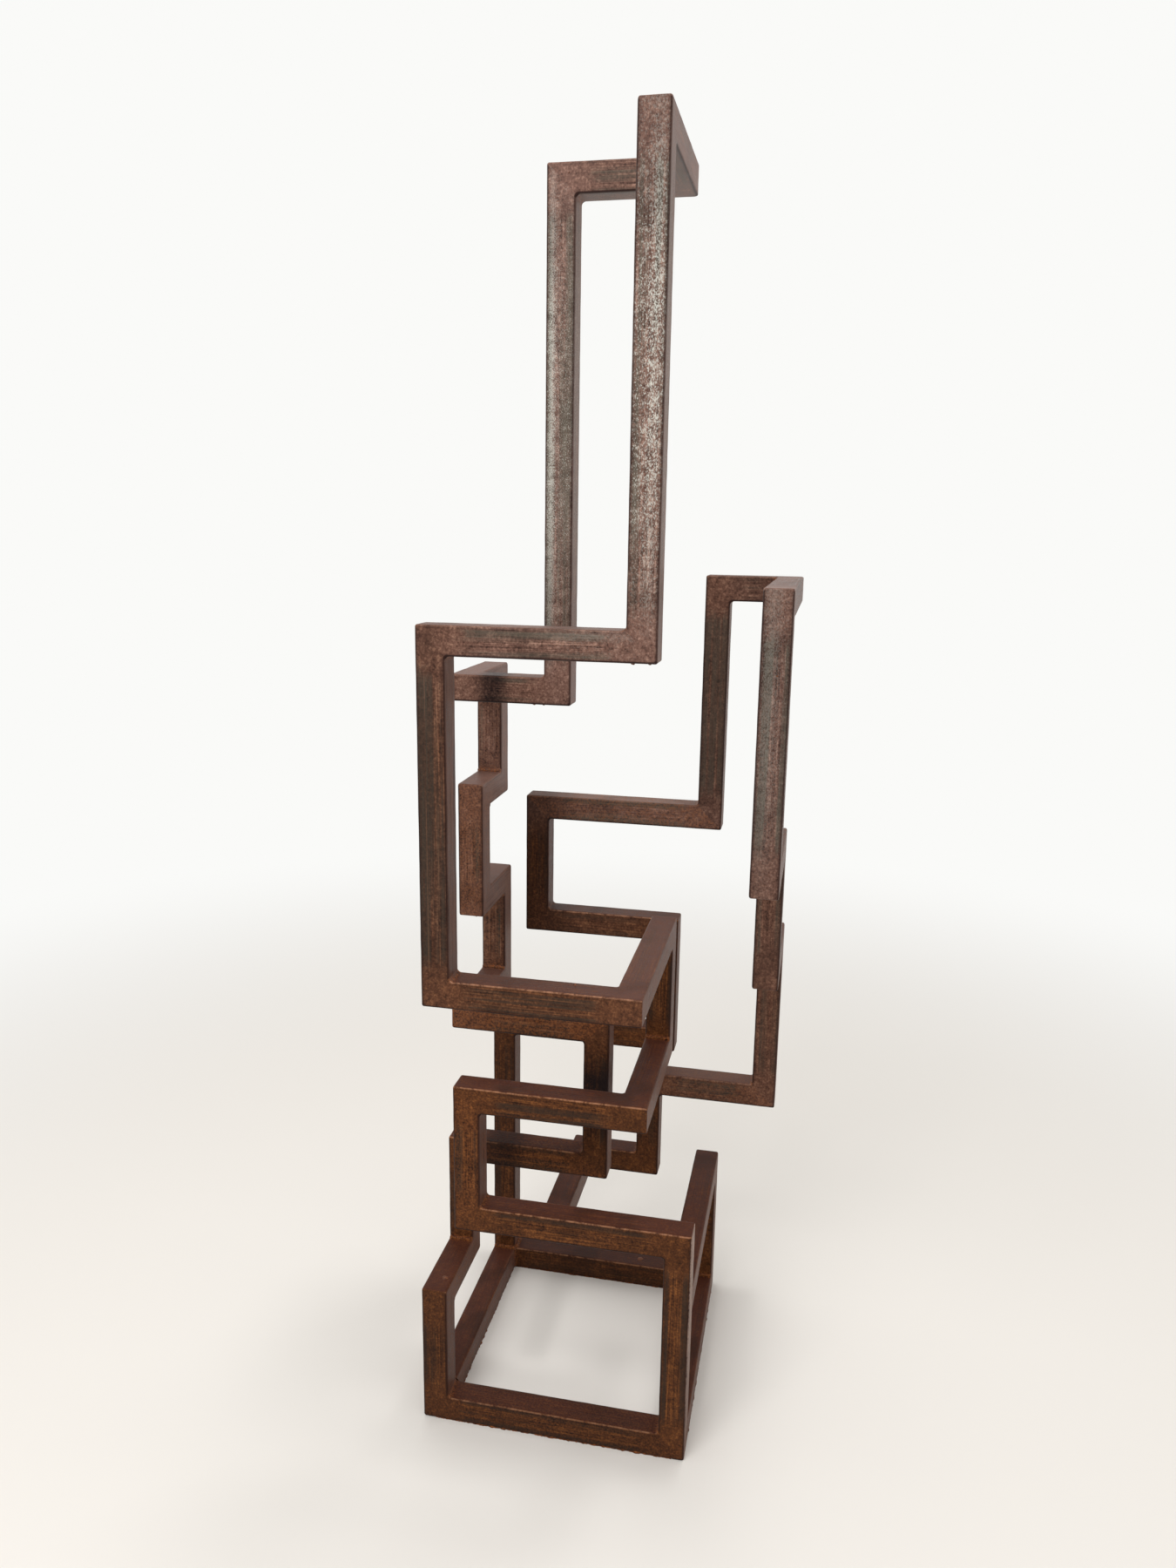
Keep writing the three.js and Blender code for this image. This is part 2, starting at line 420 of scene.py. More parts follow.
def tube_piece(name, details, number):
    """One length of tube as a closed skin, from weld to weld."""
    start, end = details["start"]["point"], details["end"]["point"]
    length = (end - start).length
    axis = (end - start).normalized()
    side = Vector((axis.z, axis.x, axis.y))
    other = axis.cross(side)
    section_axes = np.array([side, other])
    offsets = SECTION @ section_axes
    normals = SECTION_NORMALS @ section_axes
    first = end_rings(details["start"], -axis, offsets, normals)[::-1]
    last = end_rings(details["end"], axis, offsets, normals)
    rings = first + straight_rings(first[-1][0], last[0][0], normals, length) + last
    places, outwards, welds = [np.concatenate(values) for values in zip(*rings)]
    shaped = places + outwards * unevenness(places, welds)[:, None]
    shaped[:, 2] = np.maximum(shaped[:, 2], 0.0)

    count = len(SECTION)
    mesh = bpy.data.meshes.new(name + "_tube")
    mesh.from_pydata(shaped.tolist(), [], sleeve_faces(len(rings), count))
    mesh.shade_smooth()
    sharpen_caps(mesh, count, (len(rings) - 1) * count)

    along = (places - np.array(start)) @ np.array(axis)
    share = np.clip(along / length, 0, 1)
    across = (np.abs(np.tile(SECTION, (len(rings), 1))) / HALF).min(axis=1)
    tube_space = [places @ np.array(side), places @ np.array(other), along + number * PATTERN_SHIFT]
    attribute = mesh.attributes.new("tube_space", "FLOAT_VECTOR", "POINT")
    attribute.data.foreach_set("vector", np.stack(tube_space, axis=1).astype(np.float32).ravel())
    add_values(mesh, {
        "corner_distance": np.clip(np.minimum(along, length - along), 0, 1),
        "across": across,
        "edge": np.clip((across - EDGE_START) / EDGE_BLEND, 0, 1),
        # The weld value also carries painted light on inner_bar
        "weld": np.maximum(welds, OCHRE_AND_PAINTED_LIGHT_TUBES.get(name, 0.0)),
        "grey": greyness(name, details, share),
        "soot": patch(name, SOOT_PATCHES, share, length),
        "fleck": patch(name, FLECK_PATCHES, share, length),
        "scale_band": band_strength(name, places),
        "pale_side": patch(name, SIDE_HIGHLIGHT_PATCHES, share, length),
    })
    piece = finish_piece(name + "_tube", mesh, slot_of(name))
    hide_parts(name)


def linear(red, green, blue):
    """A colour given as it shows on a screen, 0 to 255, for a shader."""
    shown = (red / 255, green / 255, blue / 255)
    return tuple(c / 12.92 if c < 0.04045 else ((c + 0.055) / 1.055) ** 2.4 for c in shown) + (1.0,)


class Nodes:
    """A short way to write a node tree."""

    def __init__(self, tree):
        self.tree = tree

    def add(self, kind, inputs=None, **settings):
        node = self.tree.nodes.new(kind)
        for key, value in settings.items():
            setattr(node, key, value)
        for key, value in (inputs or {}).items():
            self.put(node.inputs[key], value)
        return node

    def put(self, socket, value):
        if isinstance(value, bpy.types.NodeSocket):
            self.tree.links.new(value, socket)
        else:
            socket.default_value = value

    def attribute(self, name, output):
        return self.add("ShaderNodeAttribute", attribute_name=name).outputs[output]

    def math(self, operation, a, b=0.0, clamp=False):
        return self.add("ShaderNodeMath", {0: a, 1: b}, operation=operation, use_clamp=clamp).outputs[0]

    def plus(self, a, b):
        return self.math("ADD", a, b)

    def minus(self, a, b):
        return self.math("SUBTRACT", a, b)

    def times(self, a, b):
        return self.math("MULTIPLY", a, b)

    def blend(self, value, gain, offset):
        """A value times a gain, plus an offset."""
        return self.plus(self.times(value, gain), offset)

    def distance(self, value, middle, slope):
        """How far a value is from a middle, times a slope."""
        return self.times(self.math("ABSOLUTE", self.minus(value, middle)), slope)

    def noise(self, place, scale=1.0, stretch=None, detail=3.0, roughness=0.6, distortion=0.0):
        if stretch:
            place = self.add("ShaderNodeMapping", {"Vector": place, "Scale": stretch}).outputs["Vector"]
        values = {
            "Vector": place, "Scale": scale, "Detail": detail,
            "Roughness": roughness, "Distortion": distortion,
        }
        return self.add("ShaderNodeTexNoise", values).outputs["Fac"]

    def step(self, value, low, high):
        """A soft step from 0 at low to 1 at high."""
        values = {"Value": value, "From Min": low, "From Max": high}
        node = self.add("ShaderNodeMapRange", values, interpolation_type="SMOOTHSTEP")
        return node.outputs["Result"]

    def ramp(self, value, source, target):
        """A straight ramp from one range of values to another."""
        values = {
            "Value": value, "From Min": source[0], "From Max": source[1],
            "To Min": target[0], "To Max": target[1],
        }
        return self.add("ShaderNodeMapRange", values).outputs["Result"]

    def mix(self, share, a, b):
        """Two colours mixed. The node has its colours on inputs 6 and 7 and on output 2."""
        node = self.add("ShaderNodeMix", data_type="RGBA")
        self.put(node.inputs[0], share)
        self.put(node.inputs[6], a)
        self.put(node.inputs[7], b)
        return node.outputs[2]


# Rust low down and high up, from dark to light, and what lies over it
LOW_RUST = (linear(36, 19, 11), linear(86, 50, 28), linear(138, 86, 46))
HIGH_RUST = (linear(60, 43, 38), linear(122, 93, 84), linear(184, 153, 140))
LOW_SCALE = linear(43, 37, 32)
HIGH_SCALE = linear(92, 90, 79)
PALE_FLECK = linear(204, 203, 193)
# Painted highlight on the right side of a tube
SIDE_HIGHLIGHT = linear(172, 146, 132)
UNDERSIDE = linear(126, 118, 113)
WELD_RUST = linear(136, 80, 44)
LOW_TOP = linear(76, 40, 33)
HIGH_TOP = linear(134, 107, 96)
# Painted sheen on the right sides, low down and high up
LOW_RIGHT_SHEEN = linear(112, 78, 68)
HIGH_RIGHT_SHEEN = linear(146, 124, 116)
# Painted highlight on the front edges on top
EDGE_HIGHLIGHT = linear(164, 116, 86)
# Painted shade on the edges at the sides and below, low down and high up
EDGE_SHADE = linear(38, 21, 17)
HIGH_EDGE_SHADE = linear(44, 29, 27)
SOOT = linear(25, 14, 14)

# Noise patterns: in waves to a metre, or stretched along the tube
GRAIN = {"scale": 330.0, "detail": 3.0, "roughness": 0.65}
BLOTCH = {"scale": 85.0, "detail": 4.0, "roughness": 0.7, "distortion": 0.6}
CLOUD = {"scale": 12.0, "detail": 2.0}
STREAK = {"stretch": (480.0, 480.0, 11.0), "detail": 4.0, "roughness": 0.7}
BAND = {"stretch": (90.0, 90.0, 1.6), "detail": 2.0}
FLECK = {"stretch": (900.0, 900.0, 480.0), "detail": 2.0}
NOISE_MIDDLE = 0.5

# How the patterns are combined into the mottle of the rust
GRAIN_SHARE = 0.55
BLOTCH_SHARE = 0.45
RAGGED_REACH = 0.06
GROUND_WELD = (0.03, 0.058)
FACES = (0.6, 0.95)
CALM_TOP = 0.65
MOTTLE_MIDDLE = (0.28, 0.52)
MOTTLE_LIGHT = (0.48, 0.74)
CLOUDED = (0.48, 0.72)
CLOUD_SHARE = 0.4

# Mill scale: thickest on a shoulder beside each long edge, and broken up by the streaks
SHOULDER = 0.66
SHOULDER_SLOPE = 3.4
SHOULDER_LEAST = -0.3
SHOULDER_WEIGHT = 0.07
BAND_WEIGHT = 0.22
SCALED = (0.46, 0.66)
BROKEN = (0.36, 0.6)
BROKEN_GAIN = 0.55
BROKEN_LEAST = 0.4

# Light lines along the tube
LINE = 0.4
LINE_SLOPE = 20.0
LINE_STREAK = (0.42, 0.6)

# Pale flecks and ochre welds
FLECK_BAND = 0.35
FLECK_BLOTCH = 0.35
FLECKED = (0.5, 0.76)
OCHRE_GRAIN = (0.4, 0.65)

# Painted highlights on the front edges on top, which fade as the tube gets greyer, and painted shade on the
# edges at the sides and below
EDGE_UP = (0.3, 0.6)
EDGE_FORWARD = (-0.3, -0.6)
EDGE_SIDE = (0.25, -0.1)
HIGHLIGHT_BLOTCH = (0.34, 0.66)
HIGHLIGHT_GREY = (0.6, 0.1)
EDGE_SHADE_SHARE = 0.95

# Soot, blotchy and darker where the mottle is dark
SOOT_DARK = (0.62, 0.42)
SOOT_DARK_GAIN = 0.2
SOOT_LEAST = 0.78
SOOT_BLOTCH_GAIN = 1.4
SOOT_BLOTCH_LEAST = 0.3

# Painted sheen on the right sides, pale undersides, and a painted highlight on some right sides
RIGHT_STREAK = (0.36, 0.58)
RIGHT_GAIN = 0.45
RIGHT_LEAST = 0.12
FACES_DOWN = (-0.6, -0.95)
UNDERSIDE_SHARE = 0.6
HIGHLIGHT_FACES = (0.4, 0.8)
HIGHLIGHT_MOTTLE = (0.36, 0.6)

# Surface
ROUGH_MOTTLE = (0.3, 0.7)
ROUGHNESS = (0.32, 0.58)
BUMP_MOTTLE = 0.7
BUMP_STREAK = 0.3
BUMP_STRENGTH = 0.7
BUMP_DEPTH = 1 * MM
STEEL = {
    "Metallic": 0.0,
    "Specular IOR Level": 0.07,
    "Sheen Weight": 0.03,
    "Sheen Roughness": 0.4,
    "Sheen Tint": (1.0, 0.93, 0.89, 1.0),
}


def rust_pattern(n, streak_share):
    """What every layer of the rust reads: the stored values, which way the steel faces, and the patterns."""
    rust = SimpleNamespace()
    rust.across = n.attribute("across", "Fac")
    rust.edge = n.attribute("edge", "Fac")
    rust.grey = n.attribute("grey", "Fac")
    rust.weld = n.attribute("weld", "Fac")
    rust.soot = n.attribute("soot", "Fac")
    rust.fleck = n.attribute("fleck", "Fac")
    rust.scale_band = n.attribute("scale_band", "Fac")
    rust.pale_side = n.attribute("pale_side", "Fac")
    rust.tube = n.attribute("tube_space", "Vector")
    geometry = n.add("ShaderNodeNewGeometry")
    normal = n.add("ShaderNodeSeparateXYZ", {0: geometry.outputs["True Normal"]})
    rust.rightward = normal.outputs["X"]
    rust.backward = normal.outputs["Y"]
    rust.upward = normal.outputs["Z"]
    rust.top = n.step(rust.upward, *FACES)
    rust.calm = n.times(rust.top, CALM_TOP)

    place = n.add("ShaderNodeTexCoord").outputs["Object"]
    rust.grain = n.noise(place, **GRAIN)
    rust.blotch = n.noise(place, **BLOTCH)
    rust.cloud = n.noise(place, **CLOUD)
    rust.streak = n.noise(rust.tube, **STREAK)
    rust.band = n.noise(rust.tube, **BAND)
    corner_distance = n.attribute("corner_distance", "Fac")
    ragged = n.times(n.minus(rust.blotch, NOISE_MIDDLE), RAGGED_REACH)
    rust.clear_of_weld = n.step(n.plus(corner_distance, ragged), *GROUND_WELD)
    speckle = n.plus(n.times(rust.grain, GRAIN_SHARE), n.times(rust.blotch, BLOTCH_SHARE))
    lengthwise = n.times(n.minus(rust.streak, NOISE_MIDDLE), n.times(rust.clear_of_weld, streak_share))
    rust.mottle = n.plus(speckle, lengthwise)
    return rust


def mottled(n, rust, tones, top):
    """Rust from dark to light, calmer on top."""
    colour = n.mix(n.step(rust.mottle, *MOTTLE_MIDDLE), tones[0], tones[1])
    colour = n.mix(n.step(rust.mottle, *MOTTLE_LIGHT), colour, tones[2])
    return n.mix(rust.calm, colour, top)


def bare_rust(n, rust):
    """Brown rust or greyer rust, with clouds of the darkest tone."""
    low = mottled(n, rust, LOW_RUST, LOW_TOP)
    high = mottled(n, rust, HIGH_RUST, HIGH_TOP)
    darkest = n.mix(rust.grey, LOW_RUST[0], HIGH_RUST[0])
    clouded = n.times(n.step(rust.cloud, *CLOUDED), CLOUD_SHARE)
    return n.mix(clouded, n.mix(rust.grey, low, high), darkest)


def add_scale(n, rust, colour, share):
    """Streaks of mill scale along the tube, away from the ground welds."""
    shoulder = n.minus(1.0, n.distance(rust.across, SHOULDER, SHOULDER_SLOPE))
    shoulder = n.math("MAXIMUM", shoulder, SHOULDER_LEAST)
    lean = n.plus(rust.band, n.times(shoulder, SHOULDER_WEIGHT))
    lean = n.plus(lean, n.times(rust.scale_band, BAND_WEIGHT))
    broken = n.blend(n.step(rust.streak, *BROKEN), BROKEN_GAIN, BROKEN_LEAST)
    banded = n.times(n.step(lean, *SCALED), broken)
    banded = n.times(n.times(banded, rust.clear_of_weld), share)
    banded = n.times(banded, n.minus(1.0, rust.calm))
    return n.mix(banded, colour, n.mix(rust.grey, LOW_SCALE, HIGH_SCALE))


def add_lines(n, rust, colour, share):
    """Two light lines along every face but the top ones."""
    line = n.math("SUBTRACT", 1.0, n.distance(rust.across, LINE, LINE_SLOPE), True)
    line = n.times(n.times(line, n.step(rust.streak, *LINE_STREAK)), rust.clear_of_weld)
    line = n.times(n.times(line, share), n.minus(1.0, rust.top))
    return n.mix(line, colour, n.mix(rust.grey, LOW_RUST[2], HIGH_RUST[2]))


def add_flecks_and_welds(n, rust, colour):
    """Pale flecks on the upper tubes, and ochre rust on the welds."""
    fleck = n.plus(n.noise(rust.tube, **FLECK), n.times(rust.scale_band, FLECK_BAND))
    uneven = n.times(n.minus(rust.blotch, NOISE_MIDDLE), FLECK_BLOTCH)
    fleck = n.step(n.plus(fleck, uneven), *FLECKED)
    colour = n.mix(n.times(fleck, rust.fleck), colour, PALE_FLECK)
    return n.mix(n.times(rust.weld, n.step(rust.grain, *OCHRE_GRAIN)), colour, WELD_RUST)


def add_edges(n, rust, colour):
    """Painted highlights on the edges on top in front, and painted shade on the edges at the sides and
    below.
    """
    # Painted highlight where a rounded edge faces up and forward, broken up by the blotch pattern
    edge_highlight = n.times(n.times(rust.edge, n.step(rust.upward, *EDGE_UP)), n.step(rust.backward, *EDGE_FORWARD))
    edge_highlight = n.times(n.times(edge_highlight, n.step(rust.blotch, *HIGHLIGHT_BLOTCH)), n.step(rust.grey, *HIGHLIGHT_GREY))
    colour = n.mix(edge_highlight, colour, n.mix(rust.grey, EDGE_HIGHLIGHT, HIGH_RUST[2]))
    # Painted shade on rounded edges that face sideways or down
    shaded_edge = n.times(n.times(rust.edge, n.step(rust.upward, *EDGE_SIDE)), EDGE_SHADE_SHARE)
    return n.mix(shaded_edge, colour, n.mix(rust.grey, EDGE_SHADE, HIGH_EDGE_SHADE))


def add_soot(n, rust, colour):
    """Dark patches."""
    blackened = n.blend(n.step(rust.mottle, *SOOT_DARK), SOOT_DARK_GAIN, SOOT_LEAST)
    patchy = n.times(rust.soot, n.blend(rust.blotch, SOOT_BLOTCH_GAIN, SOOT_BLOTCH_LEAST))
    return n.mix(n.times(patchy, blackened), colour, SOOT)


def add_pale_sides(n, rust, colour):
    """Painted sheen on the right sides, pale undersides high up, and a painted highlight on the right side
    of some tubes.
    """
    # Painted sheen: faces that point right are lightened, streaked along the tube
    right = n.blend(n.step(rust.streak, *RIGHT_STREAK), RIGHT_GAIN, RIGHT_LEAST)
    right = n.times(n.step(rust.rightward, *FACES), right)
    colour = n.mix(right, colour, n.mix(rust.grey, LOW_RIGHT_SHEEN, HIGH_RIGHT_SHEEN))
    under = n.times(n.step(rust.upward, *FACES_DOWN), n.times(rust.grey, UNDERSIDE_SHARE))
    colour = n.mix(under, colour, UNDERSIDE)
    # Painted highlight on right-facing sides, where the tube has a highlight patch
    pale = n.times(n.step(rust.rightward, *HIGHLIGHT_FACES), rust.pale_side)
    return n.mix(n.times(pale, n.step(rust.mottle, *HIGHLIGHT_MOTTLE)), colour, SIDE_HIGHLIGHT)


def rust_finish(name, scale_share, line_share, streak_share):
    """Rusted steel: mottled rust, with mill scale, lines, flecks, painted edge highlights and edge shade,
    soot, and painted sheen and highlights on the right sides over it.
    """
    material = bpy.data.materials.new(name)
    material.use_nodes = True
    shader = material.node_tree.nodes["Principled BSDF"]
    n = Nodes(material.node_tree)
    rust = rust_pattern(n, streak_share)
    colour = bare_rust(n, rust)
    colour = add_scale(n, rust, colour, scale_share)
    colour = add_lines(n, rust, colour, line_share)
    colour = add_flecks_and_welds(n, rust, colour)
    colour = add_edges(n, rust, colour)
    colour = add_soot(n, rust, colour)
    colour = add_pale_sides(n, rust, colour)
    n.put(shader.inputs["Base Color"], colour)
    n.put(shader.inputs["Roughness"], n.ramp(rust.mottle, ROUGH_MOTTLE, ROUGHNESS))
    height = n.plus(n.times(rust.mottle, BUMP_MOTTLE), n.times(rust.streak, BUMP_STREAK))
    bump = n.add("ShaderNodeBump", {"Strength": BUMP_STRENGTH, "Distance": BUMP_DEPTH, "Height": height})
    n.put(shader.inputs["Normal"], bump.outputs["Normal"])
    for key, value in STEEL.items():
        shader.inputs[key].default_value = value
    return material


FINISHES = {
    "brown_rust": rust_finish("brown_rust_steel", scale_share=0.9, line_share=0.42, streak_share=0.8),
    "dark_rust": rust_finish("dark_rust_steel", scale_share=0.7, line_share=0.15, streak_share=0.6),
    "grey_rust": rust_finish("grey_rust_steel", scale_share=0.8, line_share=0.04, streak_share=0.75),
}

RUNS = tubes_of(FRONT_RUN, closed=True) + tubes_of(BASE_RUN) + tubes_of(SIDE_RUN) + tubes_of(BACK_RUN)
for number, (tube_name, tube_details) in enumerate(RUNS):
    tube_piece(tube_name, tube_details, number)


# Weld beads left standing in the inside corners
BEAD_RADIUS = 3.3 * MM
BEAD_OUT = 1.1 * MM
BEAD_RIPPLE = 0.14
BEAD_LUMP = 0.12
BEAD_PITCH = 3.4 * MM
BEAD_WANDER = 0.4 * MM
BEAD_WANDER_PITCH = 3 * BEAD_PITCH
BEAD_WANDER_SEED = 7
BEAD_END = 0.55
BEAD_END_GROWTH = 0.15
BEAD_STEP = 0.8 * MM
BEAD_SIDES = 12
BEAD_OCHRE = 0.9

# The ragged weld along the floor: which side of each rail it is on, and how lumpy it is
FLOOR_BEAD_RADIUS = 1.1 * MM
FLOOR_BEAD_THINNEST = 0.4 * MM
FLOOR_BEAD_INSET = 0.4 * EDGE_RADIUS
FLOOR_BEAD_LUMP = 2.4 * MM
FLOOR_BEAD_ROUGHNESS = 0.4
FLOOR_BEAD_PITCH = 8 * MM
FLOOR_BEAD_FINE_PITCH = FLOOR_BEAD_PITCH / 3
FLOOR_BEAD_STEP = 1.6 * MM
FLOOR_BEADS = {
    "base_front_rail": (FRONT, 0.9),
    "base_left_rail": (RIGHT, 1.0),
    "base_back_rail": (FRONT, 0.5),
    "base_right_rail": (RIGHT, 0.6),
}


def weld_piece(name, points, faces, ochre, grey, slot):
    """A smooth piece of weld metal."""
    mesh = bpy.data.meshes.new(name)
    mesh.from_pydata(points, [], faces)
    mesh.shade_smooth()
    add_values(mesh, {"weld": np.full(len(points), ochre), "grey": np.full(len(points), grey)})
    piece = finish_piece(name, mesh, slot)


def rope_piece(name, centres, radii, grey, slot):
    """A closed bead along a line of centres, with its own radius at each."""
    axis = (centres[-1] - centres[0]).normalized()
    side = Vector((axis.z, axis.x, axis.y))
    other = axis.cross(side)
    points = []
    for centre, radius in zip(centres, radii):
        for i in range(BEAD_SIDES):
            angle = 2 * math.pi * i / BEAD_SIDES
            point = centre + (side * math.cos(angle) + other * math.sin(angle)) * radius
            point.z = max(point.z, 0.0)
            points.append(point)
    weld_piece(name, points, sleeve_faces(len(centres), BEAD_SIDES), BEAD_OCHRE, grey, slot)


def weld_bead(name, middle, axis, grey):
    """A rippled bead as long as the tube is wide."""
    count = round(2 * HALF / BEAD_STEP)
    centres = []
    radii = []
    for i in range(count + 1):
        reach = (i / count - 0.5) * 2 * (HALF - BEAD_STEP)
        centre = middle + axis * reach
        wander = noise.noise_vector(centre / BEAD_WANDER_PITCH) * BEAD_WANDER
        ripple = BEAD_RIPPLE * abs(math.sin(math.pi * reach / BEAD_PITCH))
        lump = BEAD_LUMP * noise.noise(centre / BEAD_PITCH)
        taper = min(1.0, BEAD_END + BEAD_END_GROWTH * min(i, count - i))
        centres.append(centre + wander)
        radii.append(BEAD_RADIUS * taper * (1 + ripple + lump))
    rope_piece(name, centres, radii, grey, "brown_rust")


def make_weld_beads():
    """Beads at the corners between upright and front-to-back tubes, and along the welded square ends."""
    # noise_vector follows the clock unless it is seeded
    noise.seed_set(BEAD_WANDER_SEED)
    for name, details in RUNS:
        other = details["end"].get("other")
        axes = {long_axis(name), long_axis(other)} if other else set()
        if axes == {1, 2}:
            point = details["end"]["point"]
            inside = towards(point, name) + towards(point, other)
            grey = (GREYNESS.get(name, 0.0) + GREYNESS.get(other, 0.0)) / 2
            weld_bead("weld_" + name + "_to_" + other, point + inside * (HALF + BEAD_OUT), RIGHT, grey)
        for end in ("start", "end"):
            if "other" in details[end]:
                continue
            facing = SQUARE_ENDS[(name, end)][0]
            for i, side in enumerate(details[end]["welded"]):
                middle = details[end]["point"] + side * (HALF + BEAD_OUT) - facing * BEAD_OUT
                weld_bead("weld_" + name + "_" + end + "_" + str(i + 1), middle, facing.cross(side), 0.0)


def make_floor_beads():
    """The ragged weld along the foot of each rail."""
    for name, (side, strength) in FLOOR_BEADS.items():
        low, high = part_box(name)
        axis = long_axis(name)
        middle = (low + high) / 2 + side * (HALF - FLOOR_BEAD_INSET)
        count = round((high[axis] - low[axis] - 2 * HALF) / FLOOR_BEAD_STEP)
        centres = []
        radii = []
        for i in range(count + 1):
            centre = middle.copy()
            centre[axis] = low[axis] + HALF + i * FLOOR_BEAD_STEP
            centre.z = FLOOR_BEAD_RADIUS
            lump = max(0.0, noise.noise(centre / FLOOR_BEAD_PITCH))
            lump += FLOOR_BEAD_ROUGHNESS * noise.noise(centre / FLOOR_BEAD_FINE_PITCH)
            centres.append(centre)
            radii.append(max(FLOOR_BEAD_THINNEST, FLOOR_BEAD_RADIUS + FLOOR_BEAD_LUMP * strength * lump))
        rope_piece("floor_bead_" + name, centres, radii, 0.0, "dark_rust")


# Spatter and round spots: tube, side, mm from its low end and from its middle line, radius and height in mm
SPATTER_SUNK = 0.5
SPATTER_LUMP = 0.3
SPATTER_LUMP_SCALE = 1.3
SPATTER_DETAIL = 3
SPATTER_OCHRE = 0.5
SPATTER_GREY = 0.2
SPATTER = (
    ("high_bar", DOWN, 282, -14, 3.0, 1.8),
    ("high_bar", DOWN, 303, -15, 2.2, 1.2),
    ("step_top_bar", DOWN, 128, -15, 2.6, 1.5),
    ("step_top_bar", DOWN, 142, -16, 2.2, 1.2),
    ("front_upper_bar", UP, 208, 12, 2.2, 1.8),
    ("front_upper_bar", FRONT, 72, -6, 1.2, 0.9),
    ("front_upper_bar", FRONT, 140, -2, 1.0, 0.8),
    ("mast_top_bar", FRONT, 30, 6, 1.1, 0.9),
    ("reach_tall_drop", FRONT, 300, 3, 1.3, 1.0),
    ("step_two_drop", FRONT, 18, -9, 1.4, 1.0),
    ("step_three_link", DOWN, 5, 7, 1.8, 1.8),
    ("front_low_bar", UP, 60, 8, 1.5, 1.0),
    ("inner_bar", DOWN, 180, -10, 1.6, 1.4),
    ("link_riser", FRONT, 60, 7, 1.3, 1.0),
    ("back_high_drop", FRONT, 250, -8, 1.2, 0.9),
    ("left_link", UP, 33, 7, 5.0, 1.0),
    ("base_back_rail", UP, 276, 1, 5.0, 1.0),
)


def spatter_lump(name, side, along, across, radius, height):
    """Points and faces of one lump of spatter, partly sunk in the face it sits on."""
    low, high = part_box(name)
    axis = long_axis(name)
    facing = max(range(3), key=lambda i: abs(side[i]))
    cross = 3 - axis - facing
    middle = (low + high) / 2
    middle[axis] = low[axis] + along * MM
    middle[cross] += across * MM
    middle += side * (HALF - SPATTER_SUNK * height * MM)
    size = Vector((radius, radius, radius)) * MM
    size[facing] = (1 + SPATTER_SUNK) * height * MM
    ball = bmesh.new()
    bmesh.ops.create_icosphere(ball, subdivisions=SPATTER_DETAIL, radius=1.0)
    points = []
    for vert in ball.verts:
        bulge = 1 + SPATTER_LUMP * noise.noise(vert.co * SPATTER_LUMP_SCALE + middle / MM)
        points.append([middle[i] + vert.co[i] * size[i] * bulge for i in range(3)])
    faces = [tuple(vert.index for vert in face.verts) for face in ball.faces]
    ball.free()
    return points, faces


def make_spatter():
    """All lumps of spatter, as one piece."""
    points = []
    faces = []
    for lump in SPATTER:
        lump_points, lump_faces = spatter_lump(*lump)
        faces += [tuple(i + len(points) for i in face) for face in lump_faces]
        points += lump_points
    weld_piece("weld_spatter", points, faces, SPATTER_OCHRE, SPATTER_GREY, "dark_rust")


make_weld_beads()
make_floor_beads()
make_spatter()


# Floor, pale near the sculpture and lost in the light further out
FLOOR_SIZE = 40.0
FLOOR_FADE = (1.0, 3.2)
FLOOR_TONE = linear(238, 233, 227)
FLOOR_ROUGHNESS = 0.6
FLOOR_SHINE = 0.2
ROOM_TONE = linear(250, 250, 248)


def make_floor():
    edge = FLOOR_SIZE / 2
    corners = [(-edge, -edge, 0), (edge, -edge, 0), (edge, edge, 0), (-edge, edge, 0)]
    mesh = bpy.data.meshes.new("floor")
    mesh.from_pydata(corners, [], [(0, 1, 2, 3)])
    material = bpy.data.materials.new("pale_floor")
    material.use_nodes = True
    tree = material.node_tree
    n = Nodes(tree)
    shader = tree.nodes["Principled BSDF"]
    shader.inputs["Base Color"].default_value = FLOOR_TONE
    shader.inputs["Roughness"].default_value = FLOOR_ROUGHNESS
    shader.inputs["Specular IOR Level"].default_value = FLOOR_SHINE
    glow = n.add("ShaderNodeEmission", {"Color": ROOM_TONE, "Strength": 1.0})
    place = n.add("ShaderNodeTexCoord").outputs["Object"]
    distance = n.add("ShaderNodeVectorMath", {0: place}, operation="LENGTH").outputs["Value"]
    blend = n.add("ShaderNodeMixShader")
    n.put(blend.inputs[0], n.step(distance, *FLOOR_FADE))
    n.put(blend.inputs[1], shader.outputs["BSDF"])
    n.put(blend.inputs[2], glow.outputs["Emission"])
    n.put(tree.nodes["Material Output"].inputs["Surface"], blend.outputs["Shader"])
    mesh.materials.append(material)
    floor = bpy.data.objects.new("floor", mesh)
    bpy.context.scene.collection.objects.link(floor)


# Light: a pale room, brighter behind the sculpture, a wide soft light high in front and one overhead
ROOM_FRONT_TO_BACK = (0.5, 1.0)
LIGHTS = {
    "key": {
        "power": 46.0, "size": 1.5, "place": Vector((-0.5, -2.0, 2.9)), "target": Vector((0.0, 0.0, 1.0)),
    },
    "ceiling": {
        "power": 16.0, "size": 0.4, "place": Vector((0.35, 0.25, 3.4)), "target": Vector((0.1, 0.0, 0.0)),
    },
}


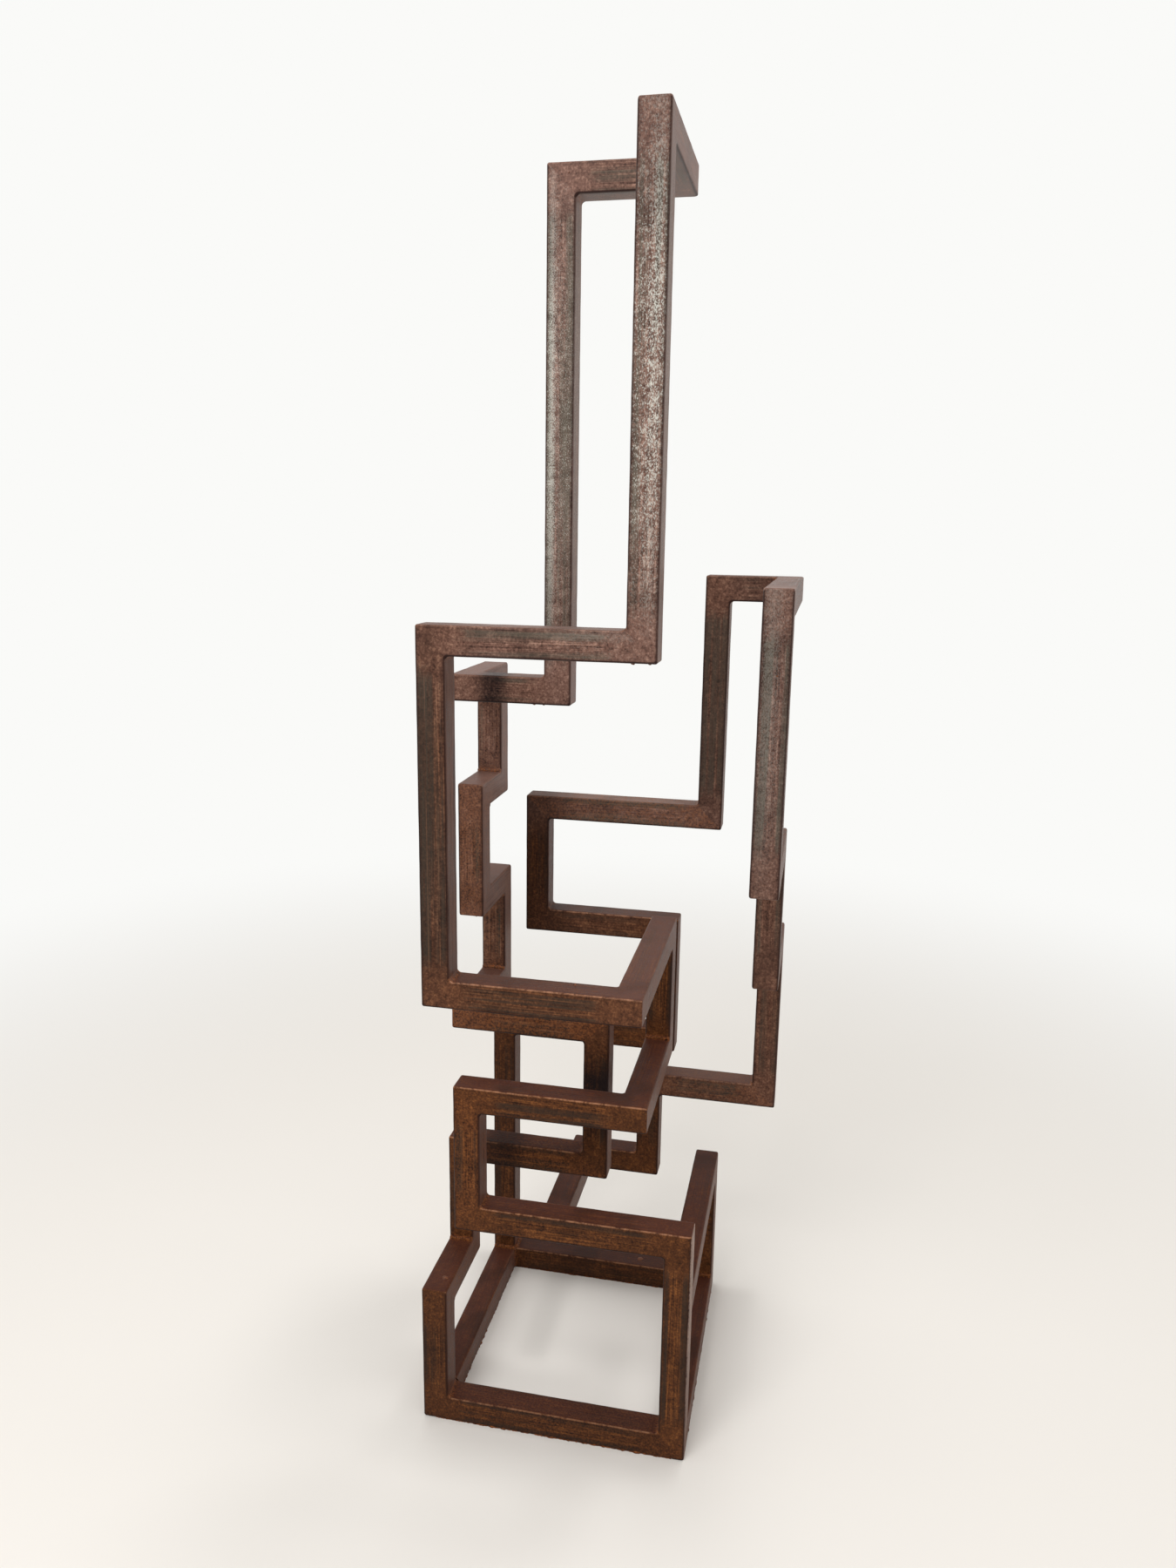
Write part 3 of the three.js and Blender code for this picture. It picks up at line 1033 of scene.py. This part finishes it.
def make_light():
    scene = bpy.context.scene
    world = bpy.data.worlds.new("room")
    world.use_nodes = True
    n = Nodes(world.node_tree)
    background = world.node_tree.nodes["Background"]
    background.inputs["Color"].default_value = ROOM_TONE
    seen = n.add("ShaderNodeLightPath").outputs["Is Camera Ray"]
    way = n.add("ShaderNodeSeparateXYZ", {0: n.add("ShaderNodeTexCoord").outputs["Generated"]})
    strength = n.ramp(way.outputs["Y"], (-1.0, 1.0), ROOM_FRONT_TO_BACK)
    n.put(background.inputs["Strength"], n.math("MAXIMUM", seen, strength))
    scene.world = world
    for name, light in LIGHTS.items():
        data = bpy.data.lights.new(name, "AREA")
        data.energy = light["power"]
        data.size = light["size"]
        lamp = bpy.data.objects.new(name, data)
        lamp.location = light["place"]
        lamp.rotation_euler = (light["target"] - light["place"]).to_track_quat("-Z", "Y").to_euler()
        scene.collection.objects.link(lamp)


# Camera, at the photograph's viewpoint
PHOTO_HEIGHT = 1800
FOCAL_PIXELS = 1305.7
SENSOR = 36.0
CAMERA_PLACE = Vector((296.86, -1628.3, 1365.36)) * MM
CAMERA_YAW = math.radians(-11.753)
CAMERA_PITCH = math.radians(-12.609)
CAMERA_ROLL = math.radians(-0.85)


def make_camera():
    ahead = Vector((
        math.sin(CAMERA_YAW) * math.cos(CAMERA_PITCH),
        math.cos(CAMERA_YAW) * math.cos(CAMERA_PITCH),
        math.sin(CAMERA_PITCH),
    ))
    right = ahead.cross(UP).normalized()
    down = ahead.cross(right)
    rolled_right = math.cos(CAMERA_ROLL) * right + math.sin(CAMERA_ROLL) * down
    rolled_down = math.cos(CAMERA_ROLL) * down - math.sin(CAMERA_ROLL) * right
    data = bpy.data.cameras.new("camera")
    data.sensor_width = SENSOR
    data.lens = FOCAL_PIXELS * SENSOR / PHOTO_HEIGHT
    camera = bpy.data.objects.new("camera", data)
    turn = Matrix((rolled_right, -rolled_down, -ahead)).transposed().to_4x4()
    camera.matrix_world = Matrix.Translation(CAMERA_PLACE) @ turn
    bpy.context.scene.collection.objects.link(camera)
    bpy.context.scene.camera = camera


make_floor()
make_light()
make_camera()
bpy.context.scene.view_settings.view_transform = "Standard"
